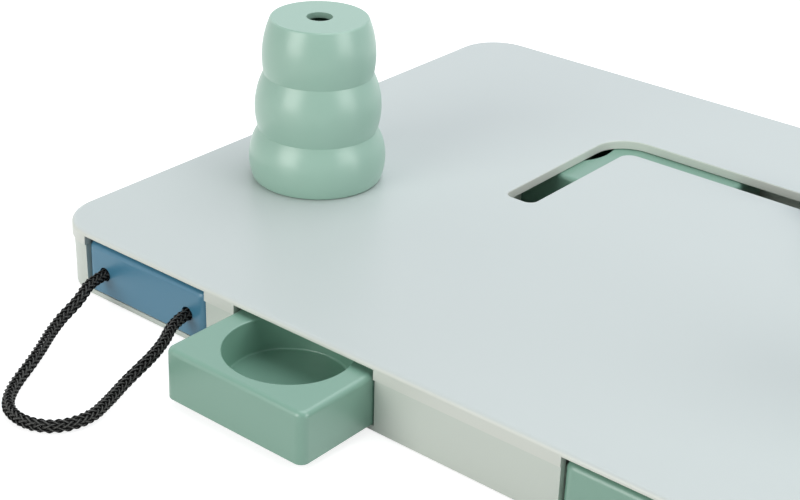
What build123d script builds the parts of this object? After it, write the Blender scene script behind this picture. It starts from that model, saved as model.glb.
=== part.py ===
from build123d import *
import math
import os

os.makedirs("parts", exist_ok=True)

# Puzzle feeder board for dogs: a flat two-part casing with four drawers along its front, one drawer in
# each side, two hollow cones that cover treat cups, and a slider in a U-shaped slot.
# Millimetres. The origin is the middle of the board on the surface that it stands on, +X runs to the right
# along the front edge, +Y to the back and +Z up.

# ---- casing
BOARD_LENGTH = 420.0
BOARD_DEPTH = 300.0
CASE_HEIGHT = 27.8
BOARD_CORNER = 21.4
PLATE = 2.0
SKIRT_DEPTH = 6.05
SKIRT_WALL = 2.2
TOP_EDGE_ROUND = 1.9
PARTING_GAP = 0.3
BASE_FLOOR = 2.4
BASE_WALL = 2.4
BASE_INSET_TOP = 0.75
BASE_INSET_BOTTOM = 1.2
BASE_EDGE_ROUND = 0.5
LIP_HEIGHT = 2.5
LIP_GAP = 0.2

# ---- drawers
DRAWER_WIDTH = 66.5
DRAWER_HEIGHT = 20.85
DRAWER_WALL = 2.0
DRAWER_CORNER = 3.6
DRAWER_TOP_ROUND = 2.2
DRAWER_FOOT_ROUND = 0.5
FRONT_DRAWER_LENGTH = 181.0
SIDE_DRAWER_LENGTH = 184.9
PULL_DRAWER_INSET = 54.6
DRAWER_PITCH = 82.8
FACE_RECESS = 1.0
FRONT_DRAWER_OPEN = 37.0
BOWL_RADIUS = 24.1
BOWL_DEPTH = 14.0
BOWL_DRAFT = 0.6
BOWL_FLOOR_ROUND = 0.8
BOWL_RIM_ROUND = 0.5
BOWL_SETBACKS = (29.5, 100.0)
GLIDE_GAP = 0.3
OPENING_GAP = 0.4
BASE_OPENING_EXTRA = 0.2
OPENING_CUT_PAST = 0.8

# ---- guides between the drawers, standing on the tray's floor
GUIDE = 1.6
GUIDE_HEIGHT = 17.5
GUIDE_GAP = 0.6
GUIDE_END_GAP = 0.4
STOP_GAP = 0.6
FRONT_STOP_GAP = 1.8
STOP_LENGTH = 12.0

# ---- pull rope
ROPE_DIAMETER = 5.1
ROPE_HOLE = 5.8
ROPE_SPACING = 46.6
ROPE_HEIGHT = 12.6
KNOT_RADIUS = 5.4
KNOT_FLAT = 4.6
KNOT_GAP = 1.1

# ---- U-slot and slider
SLOT_ARM_OFFSET = 8.7
SLOT_ARM_WIDTH = 13.9
SLOT_BACK_WIDTH = 14.5
SLOT_BACK_OFFSET = 6.2
SLOT_OUTER_ROUND = 16.0
SLOT_INNER_ROUND = 6.0
SLOT_END_ROUND = 4.0
SLOT_EDGE_ROUND = 0.6
RIM_DEPTH = 3.95
RIM_WALL = 1.6
SLIDER_COLLAR = 12.8
SLIDER_PIN = 10.0
SLIDER_REST_GAP = 0.4
PIN_FLOOR_GAP = 0.5
PIN_PASS_GAP = 3.0
KNOB_FLANGE = 19.0
KNOB_FLANGE_THICKNESS = 1.8
KNOB_WAIST = 13.0
KNOB_WAIST_HEIGHT = 7.0
KNOB_HEAD = 22.0
KNOB_WIDEST_HEIGHT = 16.0
KNOB_CROWN = 9.0
KNOB_HEIGHT = 23.0
KNOB_TOP_WALL = 4.0
SPIGOT_DIAMETER = 6.0
SPIGOT_LENGTH = 9.0
SPIGOT_GAP = 0.05
SLIDER_SCREW_SEAT = 3.0
SLIDER_SCREW_LENGTH = 20.0

# ---- cones and the treat cups under them
CONE_INSET_X = 50.7
CONE_INSET_Y = 106.2
CONE_HEIGHT = 70.65
CONE_SEAM_RADII = (27.55, 25.3, 23.15, 20.7)
CONE_BULGE_RADII = (29.1, 26.7, 23.65)
CONE_SEAM_HEIGHTS = (0.310, 0.66)
CONE_HOLE = 11.0
CONE_TOP_WALL = 2.4
CONE_BORE_TOP = 18.3
CONE_EDGE = 0.5
CONE_SPIGOT = 1.6
CONE_SPIGOT_WALL = 2.0
CONE_SPIGOT_GAP = 0.35
SEAT_GAP = 0.2
CUP_MOUTH = 26.0
CUP_FLOOR = 21.0
CUP_DEPTH = 12.0
CUP_WALL = 1.8
CUP_STRAIGHT = 3.0
CUP_CLEARANCE = 2.0

# ---- feet and screws
FOOT_STAND = 0.7
FOOT_SUNK = 0.7
FOOT_RADIUS = 9.0
FOOT_GAP = 0.1
FOOT_CHAMFER = 0.4
FOOT_INSET_X = 35.0
FOOT_INSET_Y = 32.0
SCREW_SHANK = 2.5
SCREW_LENGTH = 12.0
SCREW_HEAD = 5.8
SCREW_HEAD_HEIGHT = 1.8
SCREW_HEAD_ROUND = 0.8
SCREW_TIP_LENGTH = 1.5
SCREW_TIP_RADIUS = 0.3
SCREW_CROSS_LENGTH = 3.4
SCREW_CROSS_WIDTH = 0.8
SCREW_CROSS_DEPTH = 1.0
SCREW_SINK = 1.2
PILOT_GAP = 0.05
PASS_GAP = 0.35
HEAD_GAP = 0.2
PILLAR_RADIUS = 4.6
PILLAR_HEIGHT = 5.0
BOSS_RADIUS = 3.4
CORNER_SCREW_INSET_X = 12.5
CORNER_SCREW_INSET_Y = 15.0
SIDE_SCREW_SETBACK = 28.4
REAR_SCREW_PITCH = 150.0
MIDDLE_SCREW_INSET_Y = 75.0
SCREW_GUIDE_GAP = 1.0

# ---- heights and places that follow
half_length = BOARD_LENGTH / 2
half_depth = BOARD_DEPTH / 2
top_z = FOOT_STAND + CASE_HEIGHT
plate_z = top_z - PLATE
parting_z = top_z - SKIRT_DEPTH
base_top_z = parting_z - PARTING_GAP
floor_z = FOOT_STAND + BASE_FLOOR
rim_z = top_z - RIM_DEPTH
drawer_z = floor_z + GLIDE_GAP
guide_top_z = floor_z + GUIDE_HEIGHT
inner_half_length = half_length - BASE_INSET_BOTTOM - BASE_WALL
inner_half_depth = half_depth - BASE_INSET_BOTTOM - BASE_WALL

pull_drawer_x = half_length - PULL_DRAWER_INSET
front_drawer_x = pull_drawer_x - DRAWER_PITCH
cone_x = half_length - CONE_INSET_X
cone_y = -half_depth + CONE_INSET_Y
face_y = -half_depth + FACE_RECESS
face_x = -half_length + FACE_RECESS
cup_outer = CUP_MOUTH + CUP_WALL
pull_drawer_length = cone_y - cup_outer - CUP_CLEARANCE - face_y
pull_rear_y = face_y + pull_drawer_length
front_rear_y = face_y + FRONT_DRAWER_LENGTH
front_stop_y = front_rear_y + FRONT_STOP_GAP
pull_stop_y = pull_rear_y + STOP_GAP
side_row_y = front_stop_y + GUIDE + GUIDE_GAP + DRAWER_WIDTH / 2
rear_guide_y = side_row_y + DRAWER_WIDTH / 2 + GUIDE_GAP
side_inner_x = -face_x - SIDE_DRAWER_LENGTH
guide_offset = DRAWER_WIDTH / 2 + GUIDE_GAP
opening_width = DRAWER_WIDTH + 2 * OPENING_GAP
base_opening_width = opening_width + 2 * BASE_OPENING_EXTRA

slot_arm_x = front_drawer_x + SLOT_ARM_OFFSET
slot_back_y = side_row_y + SLOT_BACK_OFFSET
slot_end_y = front_rear_y - FRONT_DRAWER_OPEN
slider_x = side_inner_x - SLIDER_PIN / 2 - SLIDER_REST_GAP
seat_z = top_z + SEAT_GAP
pin_bottom_z = floor_z + PIN_FLOOR_GAP
slider_screw_z = seat_z - SLIDER_SCREW_SEAT
case_screw_z = FOOT_STAND + SCREW_SINK + SCREW_HEAD_HEIGHT

BOTTOM = (Align.CENTER, Align.CENTER, Align.MIN)


def save(node, shape):
    shape.label = node
    export_step(shape, f"parts/{node}.step")


def rounded_plan(inset, z):
    """The casing's outline, drawn in by inset, at height z."""
    outline = RectangleRounded(BOARD_LENGTH - 2 * inset, BOARD_DEPTH - 2 * inset, BOARD_CORNER - inset)
    return Pos(0, 0, z) * outline


def block(x0, x1, y0, y1, z0, z1):
    """A box between two corners."""
    centre = Pos((x0 + x1) / 2, (y0 + y1) / 2, z0)
    return centre * Box(abs(x1 - x0), abs(y1 - y0), z1 - z0, align=BOTTOM)


def turned(points):
    """A body of revolution about Z from its half section in radius and height."""
    section = make_face(Plane.XZ * Polyline(*points, close=True))
    return revolve(section, Axis.Z)


def screw_places():
    """Where a screw holds the cover down on the base."""
    corner_x = half_length - CORNER_SCREW_INSET_X
    front_y = -half_depth + CORNER_SCREW_INSET_Y
    rear_y = rear_guide_y + GUIDE + SCREW_GUIDE_GAP + PILLAR_RADIUS
    between_x = (pull_drawer_x + front_drawer_x) / 2
    side_x = (front_drawer_x + guide_offset + GUIDE + cone_x - cup_outer) / 2
    places = [(0.0, -half_depth + MIDDLE_SCREW_INSET_Y)]
    for side in (-1, 1):
        places += [(side * corner_x, front_y), (side * corner_x, rear_y)]
        places += [(side * between_x, front_y), (side * side_x, front_rear_y - SIDE_SCREW_SETBACK)]
        places += [(side * REAR_SCREW_PITCH / 2, rear_y)]
    return places


def slot_outline(grow):
    """The U-slot in plan, grown outwards by grow all round."""
    outer_x = slot_arm_x + SLOT_ARM_WIDTH / 2 + grow
    inner_x = slot_arm_x - SLOT_ARM_WIDTH / 2 - grow
    outer_y = slot_back_y + SLOT_BACK_WIDTH / 2 + grow
    inner_y = slot_back_y - SLOT_BACK_WIDTH / 2 - grow
    end_y = slot_end_y - grow
    corners = [
        (-outer_x, end_y), (-outer_x, outer_y), (outer_x, outer_y), (outer_x, end_y),
        (inner_x, end_y), (inner_x, inner_y), (-inner_x, inner_y), (-inner_x, end_y),
    ]
    outline = make_face(Polyline(*corners, close=True))
    at_top = outline.vertices().filter_by(lambda v: abs(v.Y - outer_y) < 0.01)
    outline = fillet(at_top, SLOT_OUTER_ROUND + grow)
    at_inside = outline.vertices().filter_by(lambda v: abs(v.Y - inner_y) < 0.01)
    outline = fillet(at_inside, SLOT_INNER_ROUND - grow)
    at_ends = outline.vertices().filter_by(lambda v: abs(v.Y - end_y) < 0.01)
    return fillet(at_ends, SLOT_END_ROUND + grow)


# ---- top cover: plate with a rolled edge and a short skirt, slot rim, treat cups and screw bosses
def treat_cup(grow, extra_depth, extra_top):
    """The cup's body of revolution: its cavity at grow 0, its outside at grow CUP_WALL."""
    return turned([
        (0, top_z + extra_top),
        (CUP_MOUTH + grow, top_z + extra_top),
        (CUP_MOUTH + grow, top_z - CUP_STRAIGHT),
        (CUP_FLOOR + grow, top_z - CUP_DEPTH - extra_depth),
        (0, top_z - CUP_DEPTH - extra_depth),
    ])


def top_cover():
    cover = extrude(rounded_plan(0, parting_z), SKIRT_DEPTH)
    cover = fillet(cover.faces().sort_by(Axis.Z)[-1].edges(), TOP_EDGE_ROUND)
    cover -= extrude(rounded_plan(SKIRT_WALL, parting_z), SKIRT_DEPTH - PLATE)
    low = parting_z - 1
    for side in (-1, 1):
        for x in (pull_drawer_x, front_drawer_x):
            x0, x1 = side * x - opening_width / 2, side * x + opening_width / 2
            inside = half_depth - SKIRT_WALL - OPENING_CUT_PAST
            cover -= block(x0, x1, -half_depth - 1, -inside, low, plate_z)
        y0, y1 = side_row_y - opening_width / 2, side_row_y + opening_width / 2
        inside = half_length - SKIRT_WALL - OPENING_CUT_PAST
        cover -= block(side * inside, side * (half_length + 1), y0, y1, low, plate_z)
    cover += Pos(0, 0, rim_z) * extrude(slot_outline(RIM_WALL), plate_z - rim_z)
    for side in (-1, 1):
        cover += Pos(side * cone_x, cone_y) * treat_cup(CUP_WALL, CUP_WALL, 0)
    boss_z = floor_z + PILLAR_HEIGHT
    pilot = (SCREW_SHANK / 2) + PILOT_GAP
    for x, y in screw_places():
        cover += Pos(x, y, boss_z) * Cylinder(BOSS_RADIUS, plate_z - boss_z, align=BOTTOM)
    cover -= Pos(0, 0, rim_z) * extrude(slot_outline(0), RIM_DEPTH)
    slot_edges = cover.faces().sort_by(Axis.Z)[-1].inner_wires()[0].edges()
    cover = fillet(slot_edges, SLOT_EDGE_ROUND)
    for side in (-1, 1):
        cover -= Pos(side * cone_x, cone_y) * treat_cup(0, 0, 1)
    for x, y in screw_places():
        cover -= Pos(x, y, boss_z) * Cylinder(pilot, SCREW_LENGTH, align=BOTTOM)
    return cover


# ---- base tray: floor, drafted walls, a lip inside the skirt and screw pillars
def base_tray():
    base = loft([rounded_plan(BASE_INSET_BOTTOM, FOOT_STAND).faces()[0],
                 rounded_plan(BASE_INSET_TOP, base_top_z).faces()[0]], ruled=True)
    base = fillet(base.faces().sort_by(Axis.Z)[0].edges(), BASE_EDGE_ROUND)
    base += extrude(rounded_plan(SKIRT_WALL + LIP_GAP, base_top_z), PARTING_GAP + LIP_HEIGHT)
    base -= extrude(rounded_plan(BASE_INSET_BOTTOM + BASE_WALL, floor_z), top_z - floor_z)
    for side in (-1, 1):
        for x in (pull_drawer_x, front_drawer_x):
            x0, x1 = side * x - base_opening_width / 2, side * x + base_opening_width / 2
            base -= block(x0, x1, -half_depth - 1, -inner_half_depth + OPENING_CUT_PAST, floor_z, top_z)
        y0, y1 = side_row_y - base_opening_width / 2, side_row_y + base_opening_width / 2
        inside = inner_half_length - OPENING_CUT_PAST
        base -= block(side * inside, side * (half_length + 1), y0, y1, floor_z, top_z)

    for x, y in screw_places():
        base += Pos(x, y, floor_z) * Cylinder(PILLAR_RADIUS, PILLAR_HEIGHT, align=BOTTOM)
    head_room = SCREW_SINK + SCREW_HEAD_HEIGHT
    for x, y in screw_places():
        base -= Pos(x, y, FOOT_STAND) * Cylinder(SCREW_HEAD / 2 + HEAD_GAP, head_room, align=BOTTOM)
        base -= Pos(x, y, FOOT_STAND) * Cylinder(SCREW_SHANK / 2 + PASS_GAP, 2 * PILLAR_HEIGHT, align=BOTTOM)
    for x, y in foot_places().values():
        base -= Pos(x, y, FOOT_STAND) * Cylinder(FOOT_RADIUS + FOOT_GAP, FOOT_SUNK, align=BOTTOM)
    return base


# ---- guides: upright strips on the tray's floor that lead the drawers and stop them at the back
def guide(*walls):
    """One guide from its walls, each given as x0, x1, y0, y1, kept clear of the tray's own walls."""
    strip = block(*walls[0], floor_z, guide_top_z)
    for wall in walls[1:]:
        strip += block(*wall, floor_z, guide_top_z)
    room = rounded_plan(BASE_INSET_BOTTOM + BASE_WALL + GUIDE_END_GAP, floor_z)
    return strip & extrude(room, GUIDE_HEIGHT)


def guides():
    inner_x, outer_x = front_drawer_x - guide_offset, front_drawer_x + guide_offset
    front = (-half_depth, front_stop_y + GUIDE)
    cross = (front_stop_y, front_stop_y + GUIDE)
    stop_x = side_inner_x - STOP_GAP
    pass_x = slot_arm_x - SLIDER_PIN / 2 - PIN_PASS_GAP
    stop_y = (front_stop_y, front_stop_y + STOP_LENGTH)
    strips = {
        "guide_middle": guide(
            (-inner_x, -inner_x + GUIDE, *front), (inner_x - GUIDE, inner_x, *front),
            (-pass_x, pass_x, *cross),
            (-stop_x, -stop_x + GUIDE, *stop_y), (stop_x - GUIDE, stop_x, *stop_y)),
        "guide_rear": guide((-half_length, half_length, rear_guide_y, rear_guide_y + GUIDE)),
    }
    for name, side in (("left", -1), ("right", 1)):
        x0, x1 = side * pull_drawer_x - guide_offset, side * pull_drawer_x + guide_offset
        pull = (-half_depth, pull_stop_y + GUIDE)
        strips[f"guide_pull_{name}"] = guide(
            (x0 - GUIDE, x0, *pull), (x1, x1 + GUIDE, *pull), (x0, x1, pull_stop_y, pull_stop_y + GUIDE))
        strips[f"guide_outer_{name}"] = guide(
            (side * outer_x, side * (outer_x + GUIDE), *front), (side * outer_x, side * half_length, *cross))
    return strips


# ---- drawers: open-bottomed mouldings with round bowls; the face is at local y = 0
def bowl_cavity():
    """The bowl's inside, hanging down from z = 0."""
    half = Polyline((0, 1), (BOWL_RADIUS, 1), (BOWL_RADIUS, 0), (BOWL_RADIUS - BOWL_DRAFT, -BOWL_DEPTH),
                    (0, -BOWL_DEPTH), close=True)
    section = make_face(Plane.XZ * half)
    corner = section.vertices().filter_by(lambda v: v.X > 1).sort_by(Axis.Z)[0]
    return revolve(fillet(corner, BOWL_FLOOR_ROUND), Axis.Z)


def drawer(length, setbacks, rope_holes=False):
    front_edge = (Align.CENTER, Align.MIN, Align.MIN)
    body = Box(DRAWER_WIDTH, length, DRAWER_HEIGHT, align=front_edge)
    body = fillet(body.edges().filter_by(Axis.Z), DRAWER_CORNER)
    body = fillet(body.faces().sort_by(Axis.Z)[-1].edges(), DRAWER_TOP_ROUND)
    body = fillet(body.faces().sort_by(Axis.Z)[0].edges(), DRAWER_FOOT_ROUND)
    hollow = Box(DRAWER_WIDTH - 2 * DRAWER_WALL, length - 2 * DRAWER_WALL, DRAWER_HEIGHT - DRAWER_WALL,
                 align=front_edge)
    hollow = fillet(hollow.edges().filter_by(Axis.Z), DRAWER_CORNER - DRAWER_WALL)
    bowl_height = BOWL_DEPTH + DRAWER_WALL
    for setback in setbacks:
        hollow -= Pos(0, setback - DRAWER_WALL, DRAWER_HEIGHT - bowl_height) * Cylinder(
            BOWL_RADIUS + DRAWER_WALL, bowl_height, align=BOTTOM)
    body -= Pos(0, DRAWER_WALL, 0) * hollow
    for setback in setbacks:
        body -= Pos(0, setback, DRAWER_HEIGHT) * bowl_cavity()
    rims = body.edges().filter_by(GeomType.CIRCLE).filter_by(
        lambda e: abs(e.center().Z - DRAWER_HEIGHT) < 0.01 and abs(e.radius - BOWL_RADIUS) < 0.01)
    body = fillet(rims, BOWL_RIM_ROUND)
    if rope_holes:
        for side in (-1, 1):
            hole = Rot(90, 0, 0) * Cylinder(ROPE_HOLE / 2, 4 * DRAWER_WALL)
            body -= Pos(side * ROPE_SPACING / 2, 0, ROPE_HEIGHT - drawer_z) * hole
    return body


# ---- pull rope of the left pull drawer: through both holes, a knot behind each
def rope_route():
    """The rope's own line, from one knot to the other: out of the face, down and along the floor."""
    knot_y = face_y + DRAWER_WALL + KNOT_GAP
    left_x = -pull_drawer_x - ROPE_SPACING / 2
    right_x = -pull_drawer_x + ROPE_SPACING / 2
    return [
        (left_x, knot_y, ROPE_HEIGHT),
        (left_x, -157.0, ROPE_HEIGHT),
        (-173.9, -166.7, 10.0),
        (-172.2, -181.1, 5.3),
        (-161.9, -199.3, 3.1),
        (-151.0, -220.5, 2.8),
        (-141.9, -229.7, 2.7),
        (-130.0, -231.4, 2.7),
        (-119.5, -225.5, 2.7),
        (-114.7, -214.5, 3.5),
        (-117.7, -202.7, 4.1),
        (-122.0, -190.7, 4.8),
        (-126.2, -167.8, 8.4),
        (right_x, -155.8, ROPE_HEIGHT),
        (right_x, knot_y, ROPE_HEIGHT),
    ]


def pull_rope():
    points = [Vector(*p) for p in rope_route()]
    radii = []
    for before, here, after in zip(points, points[1:], points[2:]):
        turn = math.radians((here - before).get_angle(after - here))
        shorter = min((here - before).length, (after - here).length)
        radii.append(0.45 * shorter / math.tan(turn / 2))
    print("rope radii:", [round(r, 1) for r in radii])
    path = FilletPolyline(*points, radius=radii)
    start = Plane(origin=points[0], z_dir=points[1] - points[0])
    rope = sweep(start * Circle(ROPE_DIAMETER / 2), path=path)
    expected = math.pi * (ROPE_DIAMETER / 2) ** 2 * path.length
    print("rope length", round(path.length, 1), "volume ratio", round(rope.volume / expected, 4))
    return rope


def rope_knot(point):
    """A pulled-tight stopper knot, flat where the rope runs into it."""
    knot = Sphere(KNOT_RADIUS)
    knot -= Pos(0, -KNOT_FLAT - KNOT_RADIUS, 0) * Box(*[2 * KNOT_RADIUS] * 3)
    return Pos(point[0], point[1] + KNOT_FLAT, point[2]) * knot


# ---- cones: three stacked bulges with a straight-drafted bore, and a spigot that drops into the cup
def cone():
    heights = [0.0] + [share * CONE_HEIGHT for share in CONE_SEAM_HEIGHTS] + [CONE_HEIGHT]
    outside = []
    for i, bulge in enumerate(CONE_BULGE_RADII):
        low, high = heights[i], heights[i + 1]
        if i == 0:
            low += CONE_EDGE
        if i == len(CONE_BULGE_RADII) - 1:
            high -= CONE_EDGE
        start, end = (CONE_SEAM_RADII[i], low), (CONE_SEAM_RADII[i + 1], high)
        outside.append(ThreePointArc(start, (bulge, (heights[i] + heights[i + 1]) / 2), end))
    spigot_outer = CUP_MOUTH - CONE_SPIGOT_GAP
    bore = spigot_outer - CONE_SPIGOT_WALL
    under_top = CONE_HEIGHT - CONE_TOP_WALL
    rest = Polyline(
        (CONE_SEAM_RADII[-1], CONE_HEIGHT - CONE_EDGE),
        (CONE_SEAM_RADII[-1] - CONE_EDGE, CONE_HEIGHT),
        (CONE_HOLE / 2, CONE_HEIGHT),
        (CONE_HOLE / 2, under_top),
        (CONE_BORE_TOP, under_top),
        (bore, 0),
        (bore, -CONE_SPIGOT),
        (spigot_outer, -CONE_SPIGOT),
        (spigot_outer, 0),
        (CONE_SEAM_RADII[0] - CONE_EDGE, 0),
        (CONE_SEAM_RADII[0], CONE_EDGE),
    )
    section = make_face([Plane.XZ * edge for piece in [*outside, rest] for edge in piece.edges()])
    return revolve(section, Axis.Z)


# ---- slider: a knob on top of the plate, and the pin under it that pushes the drawers
def slider_knob():
    flange = KNOB_FLANGE / 2
    waist = KNOB_WAIST / 2
    head = KNOB_HEAD / 2
    crown = KNOB_CROWN / 2
    out = Polyline((0, 0), (flange, 0), (flange, KNOB_FLANGE_THICKNESS))
    foot_curve = TangentArc((waist, KNOB_WAIST_HEIGHT), (flange, KNOB_FLANGE_THICKNESS), tangent=(0, -1))
    under_head = TangentArc((waist, KNOB_WAIST_HEIGHT), (head, KNOB_WIDEST_HEIGHT), tangent=(0, 1))
    top = TangentArc((head, KNOB_WIDEST_HEIGHT), (crown, KNOB_HEIGHT), tangent=(0, 1))
    back = Polyline((crown, KNOB_HEIGHT), (0, KNOB_HEIGHT), (0, 0))
    side = [edge for piece in (out, foot_curve, under_head, top, back) for edge in piece.edges()]
    knob = revolve(make_face([Plane.XZ * edge for edge in side]), Axis.Z)
    knob -= Cylinder(SPIGOT_DIAMETER / 2 + SPIGOT_GAP, SPIGOT_LENGTH + SPIGOT_GAP, align=BOTTOM)
    knob -= Cylinder(SCREW_SHANK / 2 + PILOT_GAP, KNOB_HEIGHT - KNOB_TOP_WALL, align=BOTTOM)
    return knob


def slider_pin():
    """Pushing pin, collar that runs in the slot, and the spigot that plugs into the knob."""
    collar_z = rim_z
    pin = Pos(0, 0, pin_bottom_z) * Cylinder(SLIDER_PIN / 2, collar_z - pin_bottom_z, align=BOTTOM)
    pin += Pos(0, 0, collar_z) * Cylinder(SLIDER_COLLAR / 2, seat_z - collar_z, align=BOTTOM)
    pin += Pos(0, 0, seat_z) * Cylinder(SPIGOT_DIAMETER / 2, SPIGOT_LENGTH, align=BOTTOM)
    pin -= Pos(0, 0, pin_bottom_z) * Cylinder(SCREW_SHANK / 2 + PASS_GAP, 3 * CASE_HEIGHT, align=BOTTOM)
    room = slider_screw_z - pin_bottom_z
    pin -= Pos(0, 0, pin_bottom_z) * Cylinder(SCREW_HEAD / 2 + HEAD_GAP, room, align=BOTTOM)
    return pin


# ---- screws and feet
def screw(length):
    """Pan-head screw, head down: the head's seat is at z = 0 and the shank points up."""
    plain = length - SCREW_TIP_LENGTH
    body = Cylinder(SCREW_SHANK / 2, plain, align=BOTTOM)
    body += Pos(0, 0, plain) * Cone(SCREW_SHANK / 2, SCREW_TIP_RADIUS, SCREW_TIP_LENGTH, align=BOTTOM)
    head = Pos(0, 0, -SCREW_HEAD_HEIGHT) * Cylinder(SCREW_HEAD / 2, SCREW_HEAD_HEIGHT, align=BOTTOM)
    head = fillet(head.edges().filter_by(GeomType.CIRCLE).sort_by(Axis.Z)[0], SCREW_HEAD_ROUND)
    for angle in (0, 90):
        cross = Box(SCREW_CROSS_LENGTH, SCREW_CROSS_WIDTH, SCREW_CROSS_DEPTH, align=BOTTOM)
        head -= Pos(0, 0, -SCREW_HEAD_HEIGHT) * Rot(0, 0, angle) * cross
    return body + head


def foot_places():
    x = half_length - FOOT_INSET_X
    y = half_depth - FOOT_INSET_Y
    return {
        "foot_front_left": (-x, -y),
        "foot_front_right": (x, -y),
        "foot_back_left": (-x, y),
        "foot_back_right": (x, y),
        "foot_centre": (0, 0),
    }


def foot():
    pad = Cylinder(FOOT_RADIUS, FOOT_STAND + FOOT_SUNK, align=BOTTOM)
    return chamfer(pad.edges().sort_by(Axis.Z)[0], FOOT_CHAMFER)


# ---- the pieces in their places
save("top_cover", top_cover())
save("base_tray", base_tray())
for node, strip in guides().items():
    save(node, strip)

pull_drawer = drawer(pull_drawer_length, [pull_drawer_length / 2], rope_holes=True)
front_drawer = drawer(FRONT_DRAWER_LENGTH, BOWL_SETBACKS)
side_drawer = drawer(SIDE_DRAWER_LENGTH, BOWL_SETBACKS)
for name, side, opened in (("left", -1, FRONT_DRAWER_OPEN), ("right", 1, 0.0)):
    save(f"pull_drawer_{name}", Pos(side * pull_drawer_x, face_y, drawer_z) * pull_drawer)
    save(f"front_drawer_{name}", Pos(side * front_drawer_x, face_y - opened, drawer_z) * front_drawer)
    turn = Rot(0, 0, side * 90)
    save(f"side_drawer_{name}", Pos(side * -face_x, side_row_y, drawer_z) * turn * side_drawer)
    save(f"cone_{name}", Pos(side * cone_x, cone_y, seat_z) * cone())

save("pull_rope", pull_rope())
save("rope_knot_left", rope_knot(rope_route()[0]))
save("rope_knot_right", rope_knot(rope_route()[-1]))

save("slider_knob", Pos(slider_x, slot_back_y, seat_z) * slider_knob())
save("slider_pin", Pos(slider_x, slot_back_y) * slider_pin())
save("slider_screw", Pos(slider_x, slot_back_y, slider_screw_z) * screw(SLIDER_SCREW_LENGTH))

for node, (x, y) in foot_places().items():
    save(node, Pos(x, y) * foot())
case_screws = [Pos(x, y, case_screw_z) * screw(SCREW_LENGTH) for x, y in screw_places()]
save("case_screws", Compound(children=case_screws))
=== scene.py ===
import math

import bpy
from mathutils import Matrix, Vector


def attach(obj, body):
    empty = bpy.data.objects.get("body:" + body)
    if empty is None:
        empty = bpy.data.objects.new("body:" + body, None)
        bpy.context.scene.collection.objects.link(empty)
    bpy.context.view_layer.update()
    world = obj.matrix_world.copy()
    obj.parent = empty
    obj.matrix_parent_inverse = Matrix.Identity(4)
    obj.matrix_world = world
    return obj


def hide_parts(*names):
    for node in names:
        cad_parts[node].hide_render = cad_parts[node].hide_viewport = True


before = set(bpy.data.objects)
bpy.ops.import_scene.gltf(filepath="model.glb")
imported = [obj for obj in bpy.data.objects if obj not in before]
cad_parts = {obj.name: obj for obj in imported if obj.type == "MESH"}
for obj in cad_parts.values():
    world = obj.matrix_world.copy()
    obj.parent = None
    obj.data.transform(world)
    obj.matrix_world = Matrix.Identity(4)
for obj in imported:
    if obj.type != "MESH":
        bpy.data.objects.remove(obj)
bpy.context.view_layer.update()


# ---- camera
# A long lens stands to the front right and looks down on the board's left half. The shift moves the view
# to that half without turning the lens.
camera = bpy.data.objects.new("camera", bpy.data.cameras.new("camera"))
camera.location = (0.275133, -0.541366, 0.328258)
camera.rotation_euler = (1.112182, -0.012606, 0.734835)
camera.data.sensor_width = 36
camera.data.lens = 75.82
camera.data.shift_x = 0.12581
camera.data.shift_y = -0.02756
bpy.context.scene.collection.objects.link(camera)
bpy.context.scene.camera = camera


# ---- pull rope
# A limp black braid of sixteen yarns, eight laid each way, each passing over two and under two. It leaves
# one hole in the blue drawer's face, lies in a loop on the table and goes back in at the other hole.
ROPE_DIAMETER = 0.0051
ROPE_HEIGHT = 0.0126
ROPE_LEFT_X = -0.1787
ROPE_RIGHT_X = -0.1321
KNOT_Y = -0.1459
ROPE_ROUTE = [
    (ROPE_LEFT_X, KNOT_Y, ROPE_HEIGHT),
    (ROPE_LEFT_X, -0.1570, ROPE_HEIGHT),
    (-0.1739, -0.1667, 0.0100),
    (-0.1722, -0.1811, 0.0053),
    (-0.1619, -0.1993, 0.0031),
    (-0.1510, -0.2205, 0.0028),
    (-0.1419, -0.2297, 0.0027),
    (-0.1300, -0.2314, 0.0027),
    (-0.1195, -0.2255, 0.0027),
    (-0.1147, -0.2145, 0.0035),
    (-0.1177, -0.2027, 0.0041),
    (-0.1220, -0.1907, 0.0048),
    (-0.1262, -0.1678, 0.0084),
    (ROPE_RIGHT_X, -0.1558, ROPE_HEIGHT),
    (ROPE_RIGHT_X, KNOT_Y, ROPE_HEIGHT),
]
ROUTE_FINENESS = 40
JUST_SHORT = 1e-9

YARNS_EACH_WAY = 8
YARN_WIDTH = 0.00092
YARN_THICKNESS = 0.00088
YARN_SIDES = 8
YARN_STEP = 0.00036

BRAID_PITCH = 0.0215
OVER_UNDER = 0.00050
BRAID_MIDDLE = ROPE_DIAMETER / 2 - OVER_UNDER - YARN_THICKNESS / 2
TIGHT_TO_LOOSE = 0.0014
TIGHT_TO_LOOSE_EVERY = 0.046

# A long and a short wave run along every yarn. They swell its width and sink it into the braid, and the
# shifts set one yarn's waves apart from the next one's.
LONG_WAVE = 0.031
LONG_WAVE_SHIFT = 0.37
SHORT_WAVE = 0.0127
SHORT_WAVE_SHIFT = 0.61
YARN_SWELL = 0.17
SWELL_SHIFT = 11
YARN_SINK = 0.00004
SINK_SHIFT = -5

# Painted shade darkens the yarns in the braid's gaps, and a painted highlight lightens their crowns.
GAP_PAINTED_SHADE = (0.0012, 0.0012, 0.0012)
GAP_ROUGHNESS = 0.95
CROWN_PAINTED_HIGHLIGHT = (0.150, 0.150, 0.142)
CROWN_ROUGHNESS = 0.30
GAP_TURNS_CROWN = (0.34, 0.62)
FIBRE_STRETCH = (1.6, 26.0, 1.0)
YARN_SHINE = 0.16


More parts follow.
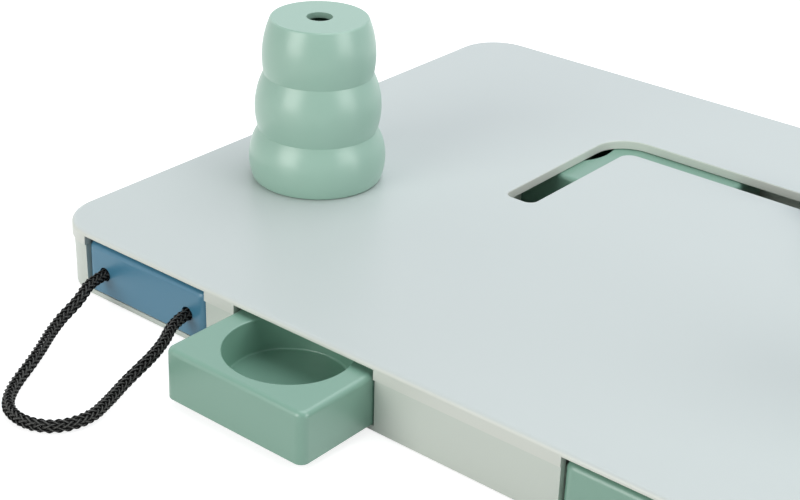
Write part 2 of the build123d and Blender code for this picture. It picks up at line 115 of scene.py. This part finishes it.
def rope_line():
    """Points along the rope's own smooth line, from knot to knot."""
    curve = bpy.data.curves.new("rope_line", "CURVE")
    curve.dimensions = "3D"
    curve.resolution_u = ROUTE_FINENESS
    spline = curve.splines.new("NURBS")
    spline.points.add(len(ROPE_ROUTE) - 1)
    for point, place in zip(spline.points, ROPE_ROUTE):
        point.co = (*place, 1)
    spline.order_u = 3
    spline.use_endpoint_u = True
    holder = bpy.data.objects.new("rope_line", curve)
    line = bpy.data.meshes.new_from_object(holder)
    places = [vertex.co.copy() for vertex in line.vertices]
    bpy.data.meshes.remove(line)
    bpy.data.objects.remove(holder)
    bpy.data.curves.remove(curve)
    return places


def even_steps(places, step):
    """The same line at equal steps: (distance along, point, direction) for each."""
    lengths = [(b - a).length for a, b in zip(places, places[1:])]
    whole = sum(lengths)
    count = round(whole / step)
    step = whole / count
    walked, at = 0.0, 0
    out = []
    for i in range(count + 1):
        target = min(i * step, whole - JUST_SHORT)
        while walked + lengths[at] < target:
            walked += lengths[at]
            at += 1
        along = (places[at + 1] - places[at]).normalized()
        out.append((target, places[at] + along * (target - walked), along))
    return out


def carried_sides(steps):
    """A side direction for every step, carried along without twist."""
    side = Vector((0, 0, 1))
    before = steps[0][2]
    sides = []
    for _, _, along in steps:
        side = before.rotation_difference(along) @ side
        side = (side - along * side.dot(along)).normalized()
        sides.append(side)
        before = along
    return sides


def laid(distance):
    """How much braid lies up to this distance: the lay runs a little tight, then a little loose."""
    return distance + TIGHT_TO_LOOSE * math.sin(2 * math.pi * distance / TIGHT_TO_LOOSE_EVERY)


def yarn_height(crossing):
    """1 where the yarn lies over two others, -1 where it runs under the next two."""
    return math.cos(math.pi * (crossing - 0.5) / 2)


def yarn_swing(distance, yarn):
    """Between -1 and 1: each yarn swings along the rope in its own way."""
    slow = math.sin(2 * math.pi * (distance / LONG_WAVE + LONG_WAVE_SHIFT * yarn))
    quick = math.sin(2 * math.pi * (distance / SHORT_WAVE + SHORT_WAVE_SHIFT * yarn))
    return (slow + quick) / 2


def yarn_ring(step, side, way, k):
    """The corners round yarn number k of one way, at one step along the rope."""
    distance, point, along = step
    across = along.cross(side)
    turns_made = laid(distance) / BRAID_PITCH
    angle = 2 * math.pi * (way * turns_made + k / YARNS_EACH_WAY)
    out = side * math.cos(angle) + across * math.sin(angle)
    round_rope = across * math.cos(angle) - side * math.sin(angle)
    slope = way * 2 * math.pi * BRAID_MIDDLE / BRAID_PITCH
    across_yarn = (round_rope - along * slope).normalized()

    crossing = 2 * YARNS_EACH_WAY * turns_made
    height = OVER_UNDER * way * yarn_height(way * crossing + 2 * k)
    height -= YARN_SINK * (1 + yarn_swing(distance, k + SINK_SHIFT * way))
    width = YARN_WIDTH * (1 + YARN_SWELL * yarn_swing(distance, k + SWELL_SHIFT * way))
    middle = point + out * (BRAID_MIDDLE + height)
    corners = []
    for j in range(YARN_SIDES):
        turn = 2 * math.pi * j / YARN_SIDES
        wide = across_yarn * (math.cos(turn) * width / 2)
        corners.append(middle + wide + out * (math.sin(turn) * YARN_THICKNESS / 2))
    return corners


def lay_out_yarns(mesh, cells):
    """Unrolls every yarn on the layer "yarn", its length along U and once round it along V."""
    layer = mesh.uv_layers.new(name="yarn")
    for polygon, cell in zip(mesh.polygons, cells):
        polygon.use_smooth = cell is not None
        if cell is None:
            continue
        i, j = cell
        corners = [(i, j), (i, j + 1), (i + 1, j + 1), (i + 1, j)]
        for loop, (u, v) in zip(polygon.loop_indices, corners):
            layer.data[loop].uv = (u * YARN_STEP / YARN_WIDTH, v / YARN_SIDES)


def braid(name, places):
    """All yarns of the rope as one mesh that follows the places."""
    steps = even_steps(places, YARN_STEP)
    sides = carried_sides(steps)
    points, faces, cells = [], [], []
    for way in (1, -1):
        for k in range(YARNS_EACH_WAY):
            first = len(points)
            for step, side in zip(steps, sides):
                points += yarn_ring(step, side, way, k)
            for i in range(len(steps) - 1):
                for j in range(YARN_SIDES):
                    a = first + i * YARN_SIDES + j
                    b = first + i * YARN_SIDES + (j + 1) % YARN_SIDES
                    faces.append((a, b, b + YARN_SIDES, a + YARN_SIDES))
                    cells.append((i, j))
            last = first + (len(steps) - 1) * YARN_SIDES
            faces.append(tuple(first + j for j in reversed(range(YARN_SIDES))))
            faces.append(tuple(last + j for j in range(YARN_SIDES)))
            cells += [None, None]
    mesh = bpy.data.meshes.new(name)
    mesh.from_pydata(points, [], faces)
    mesh.validate()
    lay_out_yarns(mesh, cells)
    rope = bpy.data.objects.new(name, mesh)
    bpy.context.scene.collection.objects.link(rope)
    return rope


def yarn_material():
    """Black filament yarn: fine fibres along it, polished on the crowns and duller in the gaps, with a
    painted highlight on the crowns and painted shade in the gaps.
    """
    material = bpy.data.materials.new("black_yarn")
    material.use_nodes = True
    nodes, links = material.node_tree.nodes, material.node_tree.links
    shader = nodes["Principled BSDF"]
    where = nodes.new("ShaderNodeUVMap")
    where.uv_map = "yarn"
    stretch = nodes.new("ShaderNodeMapping")
    stretch.inputs["Scale"].default_value = FIBRE_STRETCH
    fibres = nodes.new("ShaderNodeTexNoise")
    fibres.inputs["Scale"].default_value = 1.0
    fibres.inputs["Detail"].default_value = 3.0
    links.new(where.outputs["UV"], stretch.inputs["Vector"])
    links.new(stretch.outputs["Vector"], fibres.inputs["Vector"])

    round_yarn = nodes.new("ShaderNodeSeparateXYZ")
    turned = nodes.new("ShaderNodeMath")
    turned.operation = "MULTIPLY"
    turned.inputs[1].default_value = 2 * math.pi
    facing = nodes.new("ShaderNodeMath")
    facing.operation = "SINE"
    crown = nodes.new("ShaderNodeMapRange")
    crown.inputs["From Min"].default_value = 0.1
    links.new(where.outputs["UV"], round_yarn.inputs["Vector"])
    links.new(round_yarn.outputs["Y"], turned.inputs[0])
    links.new(turned.outputs[0], facing.inputs[0])
    links.new(facing.outputs[0], crown.inputs["Value"])

    polish_and_painted_light = nodes.new("ShaderNodeMath")
    polish_and_painted_light.operation = "MULTIPLY"
    # Painted light: dark shade in the gaps and a lighter highlight on the crowns.
    colour = nodes.new("ShaderNodeValToRGB")
    colour.color_ramp.elements[0].position, colour.color_ramp.elements[1].position = GAP_TURNS_CROWN
    colour.color_ramp.elements[0].color = (*GAP_PAINTED_SHADE, 1)
    colour.color_ramp.elements[1].color = (*CROWN_PAINTED_HIGHLIGHT, 1)
    roughness = nodes.new("ShaderNodeMapRange")
    roughness.inputs["From Max"].default_value = 0.6
    roughness.inputs["To Min"].default_value = GAP_ROUGHNESS
    roughness.inputs["To Max"].default_value = CROWN_ROUGHNESS
    bump = nodes.new("ShaderNodeBump")
    bump.inputs["Strength"].default_value = 0.7
    bump.inputs["Distance"].default_value = 0.0001
    links.new(fibres.outputs["Fac"], polish_and_painted_light.inputs[0])
    links.new(crown.outputs["Result"], polish_and_painted_light.inputs[1])
    links.new(polish_and_painted_light.outputs[0], colour.inputs["Fac"])
    links.new(polish_and_painted_light.outputs[0], roughness.inputs["Value"])
    links.new(fibres.outputs["Fac"], bump.inputs["Height"])
    links.new(colour.outputs["Color"], shader.inputs["Base Color"])
    links.new(roughness.outputs["Result"], shader.inputs["Roughness"])
    links.new(bump.outputs["Normal"], shader.inputs["Normal"])
    shader.inputs["Specular IOR Level"].default_value = YARN_SHINE
    return material


rope_places = rope_line()
pull_rope = braid("rope_braid", rope_places)
pull_rope.data.materials.append(yarn_material())
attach(pull_rope, "pull_drawer_left")
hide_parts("pull_rope")


# ---- rope knots
# Each end of the rope is tied in a stopper knot behind the drawer's face, where it can't slip back through
# the hole. Pulled tight, the same black braid makes a firm ball.
KNOT_WRAP_SCALE = 520.0
# Painted shade between the knot's yarns and painted light on their crowns.
KNOT_GAP_PAINTED_SHADE = (0.004, 0.004, 0.004)
KNOT_CROWN_PAINTED_LIGHT = (0.032, 0.032, 0.034)


def knot_material():
    """The braid drawn tight: slanting yarns in relief over the knot, with painted shade between them and
    painted light on their crowns.
    """
    material = bpy.data.materials.new("knotted_yarn")
    material.use_nodes = True
    nodes, links = material.node_tree.nodes, material.node_tree.links
    shader = nodes["Principled BSDF"]
    where = nodes.new("ShaderNodeTexCoord")
    yarns = nodes.new("ShaderNodeTexWave")
    yarns.bands_direction = "DIAGONAL"
    yarns.inputs["Scale"].default_value = KNOT_WRAP_SCALE
    yarns.inputs["Distortion"].default_value = 1.5
    colour = nodes.new("ShaderNodeValToRGB")
    colour.color_ramp.elements[0].color = (*KNOT_GAP_PAINTED_SHADE, 1)
    colour.color_ramp.elements[1].color = (*KNOT_CROWN_PAINTED_LIGHT, 1)
    bump = nodes.new("ShaderNodeBump")
    bump.inputs["Distance"].default_value = 0.0005
    links.new(where.outputs["Object"], yarns.inputs["Vector"])
    links.new(yarns.outputs["Fac"], colour.inputs["Fac"])
    links.new(yarns.outputs["Fac"], bump.inputs["Height"])
    links.new(colour.outputs["Color"], shader.inputs["Base Color"])
    links.new(bump.outputs["Normal"], shader.inputs["Normal"])
    shader.inputs["Roughness"].default_value = 0.55
    return material


def dress(node, material):
    """Gives one of the frame's own pieces its finish."""
    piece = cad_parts[node]
    piece.data.materials.clear()
    piece.data.materials.append(material)
    return piece


knotted_yarn = knot_material()
knots = [dress(node, knotted_yarn) for node in ("rope_knot_left", "rope_knot_right")]


# ---- casing and drawer guides
# Top cover, base tray and the six guides on its floor are injection moulded in pale grey plastic, with the
# fine even grain of a spark-eroded mould; the plate is a little cloudy from the flow of the plastic. Its
# rolled edge, the skirt and the slot's rim carry painted light: a lighter, warmer colour than the level
# plate.
PLATE_COLOUR = (0.574, 0.622, 0.615)
PAINTED_LIGHT_RIM_COLOUR = (0.692, 0.714, 0.662)
BASE_COLOUR = (0.622, 0.668, 0.612)
PLASTIC_IOR = 1.49

# Faces run from 0, upright, to 1, level. The rim's painted light turns into the plate's own colour between
# these two.
PAINTED_RIM_TURNS_PLATE = (0.35, 0.98)


def moulded_skin_group():
    """Fine grain, cloudiness and uneven gloss of a satin moulding, all from the place on the piece."""
    group = bpy.data.node_groups.new("moulded_skin", "ShaderNodeTree")
    face = group.interface
    face.new_socket("Colour", in_out="INPUT", socket_type="NodeSocketColor")
    for name, value in (("Cloud Size", 9.0), ("Cloud Depth", 0.03), ("Grain Size", 2600.0),
                        ("Grain Depth", 0.12), ("Roughness Low", 0.36), ("Roughness High", 0.46)):
        face.new_socket(name, in_out="INPUT", socket_type="NodeSocketFloat").default_value = value
    face.new_socket("Colour", in_out="OUTPUT", socket_type="NodeSocketColor")
    face.new_socket("Roughness", in_out="OUTPUT", socket_type="NodeSocketFloat")
    face.new_socket("Normal", in_out="OUTPUT", socket_type="NodeSocketVector")
    nodes, links = group.nodes, group.links
    given = nodes.new("NodeGroupInput")
    made = nodes.new("NodeGroupOutput")
    where = nodes.new("ShaderNodeTexCoord")

    cloud = nodes.new("ShaderNodeTexNoise")
    cloud.inputs["Detail"].default_value = 4.0
    cloud.inputs["Roughness"].default_value = 0.55
    swing = nodes.new("ShaderNodeMath")
    swing.operation = "SUBTRACT"
    swing.inputs[1].default_value = 0.5
    depth = nodes.new("ShaderNodeMath")
    depth.operation = "MULTIPLY"
    level = nodes.new("ShaderNodeMath")
    level.operation = "ADD"
    level.inputs[1].default_value = 1.0
    tint = nodes.new("ShaderNodeHueSaturation")
    links.new(where.outputs["Object"], cloud.inputs["Vector"])
    links.new(given.outputs["Cloud Size"], cloud.inputs["Scale"])
    links.new(cloud.outputs["Fac"], swing.inputs[0])
    links.new(swing.outputs[0], depth.inputs[0])
    links.new(given.outputs["Cloud Depth"], depth.inputs[1])
    links.new(depth.outputs[0], level.inputs[0])
    links.new(level.outputs[0], tint.inputs["Value"])
    links.new(given.outputs["Colour"], tint.inputs["Color"])
    links.new(tint.outputs["Color"], made.inputs["Colour"])

    roughness = nodes.new("ShaderNodeMapRange")
    links.new(cloud.outputs["Fac"], roughness.inputs["Value"])
    links.new(given.outputs["Roughness Low"], roughness.inputs["To Min"])
    links.new(given.outputs["Roughness High"], roughness.inputs["To Max"])
    links.new(roughness.outputs["Result"], made.inputs["Roughness"])

    grain = nodes.new("ShaderNodeTexNoise")
    grain.inputs["Detail"].default_value = 2.0
    bump = nodes.new("ShaderNodeBump")
    bump.inputs["Distance"].default_value = 0.0001
    links.new(where.outputs["Object"], grain.inputs["Vector"])
    links.new(given.outputs["Grain Size"], grain.inputs["Scale"])
    links.new(grain.outputs["Fac"], bump.inputs["Height"])
    links.new(given.outputs["Grain Depth"], bump.inputs["Strength"])
    links.new(bump.outputs["Normal"], made.inputs["Normal"])
    return group


moulded_skin = moulded_skin_group()


def satin_plastic(name, colour, cloud_depth=0.03, roughness=(0.36, 0.46), grain_depth=0.12, shine=0.5):
    """A satin moulding in one colour, its roughness wandering between two values."""
    material = bpy.data.materials.new(name)
    material.use_nodes = True
    nodes, links = material.node_tree.nodes, material.node_tree.links
    shader = nodes["Principled BSDF"]
    skin = nodes.new("ShaderNodeGroup")
    skin.node_tree = moulded_skin
    skin.inputs["Colour"].default_value = (*colour, 1)
    skin.inputs["Cloud Depth"].default_value = cloud_depth
    skin.inputs["Grain Depth"].default_value = grain_depth
    skin.inputs["Roughness Low"].default_value = roughness[0]
    skin.inputs["Roughness High"].default_value = roughness[1]
    links.new(skin.outputs["Colour"], shader.inputs["Base Color"])
    links.new(skin.outputs["Roughness"], shader.inputs["Roughness"])
    links.new(skin.outputs["Normal"], shader.inputs["Normal"])
    shader.inputs["IOR"].default_value = PLASTIC_IOR
    shader.inputs["Specular IOR Level"].default_value = shine
    return material


def rgba(sockets):
    """The colour sockets among a Mix node's sockets."""
    return [socket for socket in sockets if socket.type == "RGBA"]


def paint_light_by_facing(material, painted_side_colour, level_colour, turns):
    """Paints light by facing: upright faces get one colour and level faces another, shading over where the
    surface turns.
    """
    nodes, links = material.node_tree.nodes, material.node_tree.links
    skin = next(node for node in nodes if node.type == "GROUP")
    where = nodes.new("ShaderNodeTexCoord")
    parts = nodes.new("ShaderNodeSeparateXYZ")
    level = nodes.new("ShaderNodeMapRange")
    level.interpolation_type = "SMOOTHSTEP"
    level.inputs["From Min"].default_value, level.inputs["From Max"].default_value = turns
    tone = nodes.new("ShaderNodeMix")
    tone.data_type = "RGBA"
    upright, flat = rgba(tone.inputs)
    upright.default_value = (*painted_side_colour, 1)
    flat.default_value = (*level_colour, 1)
    links.new(where.outputs["Normal"], parts.inputs["Vector"])
    links.new(parts.outputs["Z"], level.inputs["Value"])
    links.new(level.outputs["Result"], tone.inputs["Factor"])
    links.new(rgba(tone.outputs)[0], skin.inputs["Colour"])
    return material


cover_grey = satin_plastic("cover_grey", PLATE_COLOUR, cloud_depth=0.04, roughness=(0.29, 0.42))
# Painted light: the rim's colour lightens the cover's upright faces and rolled edge.
dress("top_cover", paint_light_by_facing(cover_grey, PAINTED_LIGHT_RIM_COLOUR, PLATE_COLOUR, PAINTED_RIM_TURNS_PLATE))
tray_grey = satin_plastic("tray_grey", BASE_COLOUR)
dress("base_tray", tray_grey)
for part in ("middle", "rear", "outer_left", "outer_right", "pull_left", "pull_right"):
    dress(f"guide_{part}", tray_grey)


# ---- front and side drawers
# Open-bottomed mouldings in sage green with round bowls sunk in their tops. Their smoother mould leaves
# them a little glossier than the casing, with soft bright lines on the rounded edges.
SAGE = (0.188, 0.357, 0.276)
sage_plastic = satin_plastic("sage_green_plastic", SAGE, roughness=(0.30, 0.38), grain_depth=0.06,
                             shine=0.9)
for place in ("front", "side"):
    for side in ("left", "right"):
        dress(f"{place}_drawer_{side}", sage_plastic)


# ---- pull drawers
# The two outer front drawers are short and muted blue, moulded like the green ones. The left one carries
# the pull rope in two round holes through its face.
BLUE = (0.062, 0.212, 0.326)
blue_plastic = satin_plastic("muted_blue_plastic", BLUE, roughness=(0.30, 0.38), grain_depth=0.06,
                             shine=0.7)
for side in ("left", "right"):
    dress(f"pull_drawer_{side}", blue_plastic)


# ---- cones
# Hollow cones of three stacked bulges, smooth outside, in a lighter green than the drawers. A spigot at
# the foot of each sits loose in its treat cup, so the cone lifts straight off.
CONE_GREEN = (0.318, 0.496, 0.408)
cone_plastic = satin_plastic("cone_green_plastic", CONE_GREEN, roughness=(0.29, 0.34),
                             grain_depth=0.05, shine=0.75)
for side in ("left", "right"):
    dress(f"cone_{side}", cone_plastic)


# ---- slider
# A blue knob stands on the plate. Under it a grey pin with a round collar runs in the slot and pushes the
# drawers, and one screw from below holds the two together.
dress("slider_knob", blue_plastic)
dress("slider_pin", tray_grey)


# ---- feet
# Five round pads of dark soft rubber, pressed into shallow seats in the tray's underside. They keep the
# board from sliding, and only a thin edge of each shows.
RUBBER_BLACK = (0.016, 0.016, 0.017)
RUBBER_BLOOM = (0.050, 0.050, 0.050)


def rubber_material():
    """Dull dark rubber with a dusty bloom."""
    material = bpy.data.materials.new("foot_rubber")
    material.use_nodes = True
    nodes, links = material.node_tree.nodes, material.node_tree.links
    shader = nodes["Principled BSDF"]
    where = nodes.new("ShaderNodeTexCoord")
    bloom = nodes.new("ShaderNodeTexNoise")
    bloom.inputs["Scale"].default_value = 220.0
    bloom.inputs["Detail"].default_value = 5.0
    colour = nodes.new("ShaderNodeValToRGB")
    colour.color_ramp.elements[0].color = (*RUBBER_BLACK, 1)
    colour.color_ramp.elements[1].color = (*RUBBER_BLOOM, 1)
    bump = nodes.new("ShaderNodeBump")
    bump.inputs["Strength"].default_value = 0.3
    bump.inputs["Distance"].default_value = 0.0002
    links.new(where.outputs["Object"], bloom.inputs["Vector"])
    links.new(bloom.outputs["Fac"], colour.inputs["Fac"])
    links.new(bloom.outputs["Fac"], bump.inputs["Height"])
    links.new(colour.outputs["Color"], shader.inputs["Base Color"])
    links.new(bump.outputs["Normal"], shader.inputs["Normal"])
    shader.inputs["Roughness"].default_value = 0.82
    return material


foot_rubber = rubber_material()
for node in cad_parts:
    if node.startswith("foot_"):
        dress(node, foot_rubber)


# ---- screws
# Small zinc-plated pan-head screws. Eleven hold the cover down on the tray from below, their heads sunk in
# the tray's underside, and a longer one holds the slider together.
ZINC_SHADE = (0.42, 0.43, 0.45)
ZINC_LIGHT = (0.62, 0.62, 0.63)


def screw_material():
    """Zinc-plated steel, mottled and unevenly bright."""
    material = bpy.data.materials.new("zinc_plated_steel")
    material.use_nodes = True
    nodes, links = material.node_tree.nodes, material.node_tree.links
    shader = nodes["Principled BSDF"]
    where = nodes.new("ShaderNodeTexCoord")
    marks = nodes.new("ShaderNodeTexNoise")
    marks.inputs["Scale"].default_value = 900.0
    gloss = nodes.new("ShaderNodeMapRange")
    gloss.inputs["To Min"].default_value = 0.25
    gloss.inputs["To Max"].default_value = 0.45
    colour = nodes.new("ShaderNodeValToRGB")
    colour.color_ramp.elements[0].color = (*ZINC_SHADE, 1)
    colour.color_ramp.elements[1].color = (*ZINC_LIGHT, 1)
    links.new(where.outputs["Object"], marks.inputs["Vector"])
    links.new(marks.outputs["Fac"], gloss.inputs["Value"])
    links.new(marks.outputs["Fac"], colour.inputs["Fac"])
    links.new(gloss.outputs["Result"], shader.inputs["Roughness"])
    links.new(colour.outputs["Color"], shader.inputs["Base Color"])
    shader.inputs["Metallic"].default_value = 1.0
    return material


zinc_steel = screw_material()
for node in ("case_screws", "slider_screw"):
    dress(node, zinc_steel)


# ---- studio
# A white table that runs out to white. A wide soft light hangs overhead, two tall soft boxes stand in
# front and to the right, on either side of the camera, and weak ones fill in from behind and the left.
TABLE_HALF = 1.6
TABLE_GREY = 0.50
TABLE_LIFT = 0.79
WORLD_LEVEL = 0.28
COOL_WHITE = (0.93, 0.965, 1.0)
WHITE = (1, 1, 1)


def seen_straight_or_mirrored(nodes, links):
    """1 for what the eye sees straight, in a shiny face or through a clear one, and 0 for soft light."""
    path = nodes.new("ShaderNodeLightPath")
    mirrored = nodes.new("ShaderNodeMath")
    mirrored.operation = "MAXIMUM"
    either = nodes.new("ShaderNodeMath")
    either.operation = "MAXIMUM"
    links.new(path.outputs["Is Glossy Ray"], mirrored.inputs[0])
    links.new(path.outputs["Is Transmission Ray"], mirrored.inputs[1])
    links.new(path.outputs["Is Camera Ray"], either.inputs[0])
    links.new(mirrored.outputs[0], either.inputs[1])
    return either.outputs[0]


def white_table():
    """A level sheet of paper that takes the shadows and looks white everywhere else."""
    mesh = bpy.data.meshes.new("table")
    corners = [(x * TABLE_HALF, y * TABLE_HALF, 0) for x, y in ((-1, -1), (1, -1), (1, 1), (-1, 1))]
    mesh.from_pydata(corners, [], [(0, 1, 2, 3)])
    table = bpy.data.objects.new("table", mesh)
    bpy.context.scene.collection.objects.link(table)
    material = bpy.data.materials.new("table_white")
    material.use_nodes = True
    nodes, links = material.node_tree.nodes, material.node_tree.links
    nodes.remove(nodes["Principled BSDF"])
    paper = nodes.new("ShaderNodeBsdfDiffuse")
    paper.inputs["Color"].default_value = (TABLE_GREY, TABLE_GREY, TABLE_GREY, 1)
    level = nodes.new("ShaderNodeMath")
    level.operation = "MULTIPLY"
    level.inputs[1].default_value = TABLE_LIFT
    lift = nodes.new("ShaderNodeEmission")
    both = nodes.new("ShaderNodeAddShader")
    links.new(seen_straight_or_mirrored(nodes, links), level.inputs[0])
    links.new(level.outputs[0], lift.inputs["Strength"])
    links.new(paper.outputs[0], both.inputs[0])
    links.new(lift.outputs[0], both.inputs[1])
    links.new(both.outputs[0], nodes["Material Output"].inputs["Surface"])
    mesh.materials.append(material)


def white_surroundings():
    """A room that is white to the eye, a cool white in shiny faces, and dim as a light."""
    world = bpy.data.worlds.new("studio")
    world.use_nodes = True
    bpy.context.scene.world = world
    nodes, links = world.node_tree.nodes, world.node_tree.links
    sky = nodes["Background"]
    path = nodes.new("ShaderNodeLightPath")
    tint = nodes.new("ShaderNodeMix")
    tint.data_type = "RGBA"
    reflected, straight = rgba(tint.inputs)
    reflected.default_value = (*COOL_WHITE, 1)
    straight.default_value = (*WHITE, 1)
    links.new(path.outputs["Is Camera Ray"], tint.inputs["Factor"])
    links.new(rgba(tint.outputs)[0], sky.inputs["Color"])
    level = nodes.new("ShaderNodeMapRange")
    level.inputs["To Min"].default_value = WORLD_LEVEL
    level.inputs["To Max"].default_value = 1.0
    links.new(seen_straight_or_mirrored(nodes, links), level.inputs["Value"])
    links.new(level.outputs["Result"], sky.inputs["Strength"])


def soft_box(name, place, aim, size, power, colour):
    """A rectangular area light at a place, turned to what it aims at."""
    lamp = bpy.data.lights.new(name, "AREA")
    lamp.shape = "RECTANGLE"
    lamp.size, lamp.size_y = size
    lamp.energy = power
    lamp.color = colour
    holder = bpy.data.objects.new(name, lamp)
    holder.location = place
    holder.rotation_euler = (Vector(aim) - Vector(place)).to_track_quat("-Z", "Y").to_euler()
    bpy.context.scene.collection.objects.link(holder)


white_table()
white_surroundings()
soft_box("overhead", place=(0.12, 0.36, 1.6), aim=(0, 0, 0), size=(1.6, 1.4), power=15.6,
         colour=(0.95, 0.97, 1.0))
soft_box("over_back", place=(-0.1, 1.3, 1.3), aim=(0, 0, 0), size=(2.0, 1.0), power=3.6,
         colour=(0.93, 0.98, 1.0))
soft_box("back_left", place=(-1.3, 1.4, 0.8), aim=(0, 0, 0.03), size=(2.0, 1.2), power=1.2,
         colour=(0.84, 0.90, 1.0))
soft_box("left", place=(-1.5, 0.2, 0.7), aim=(0, 0, 0.03), size=(1.0, 1.0), power=1.6,
         colour=(1.0, 0.97, 0.93))
soft_box("front", place=(-0.36, -1.38, 0.50), aim=(-0.05, 0, 0.05), size=(0.8, 1.0), power=10.6,
         colour=(0.99, 1.0, 0.96))
soft_box("right", place=(1.34, 0.12, 0.50), aim=(-0.05, 0, 0.05), size=(0.8, 1.0), power=8.4,
         colour=(0.98, 1.0, 0.98))
bpy.context.scene.view_settings.view_transform = "Standard"
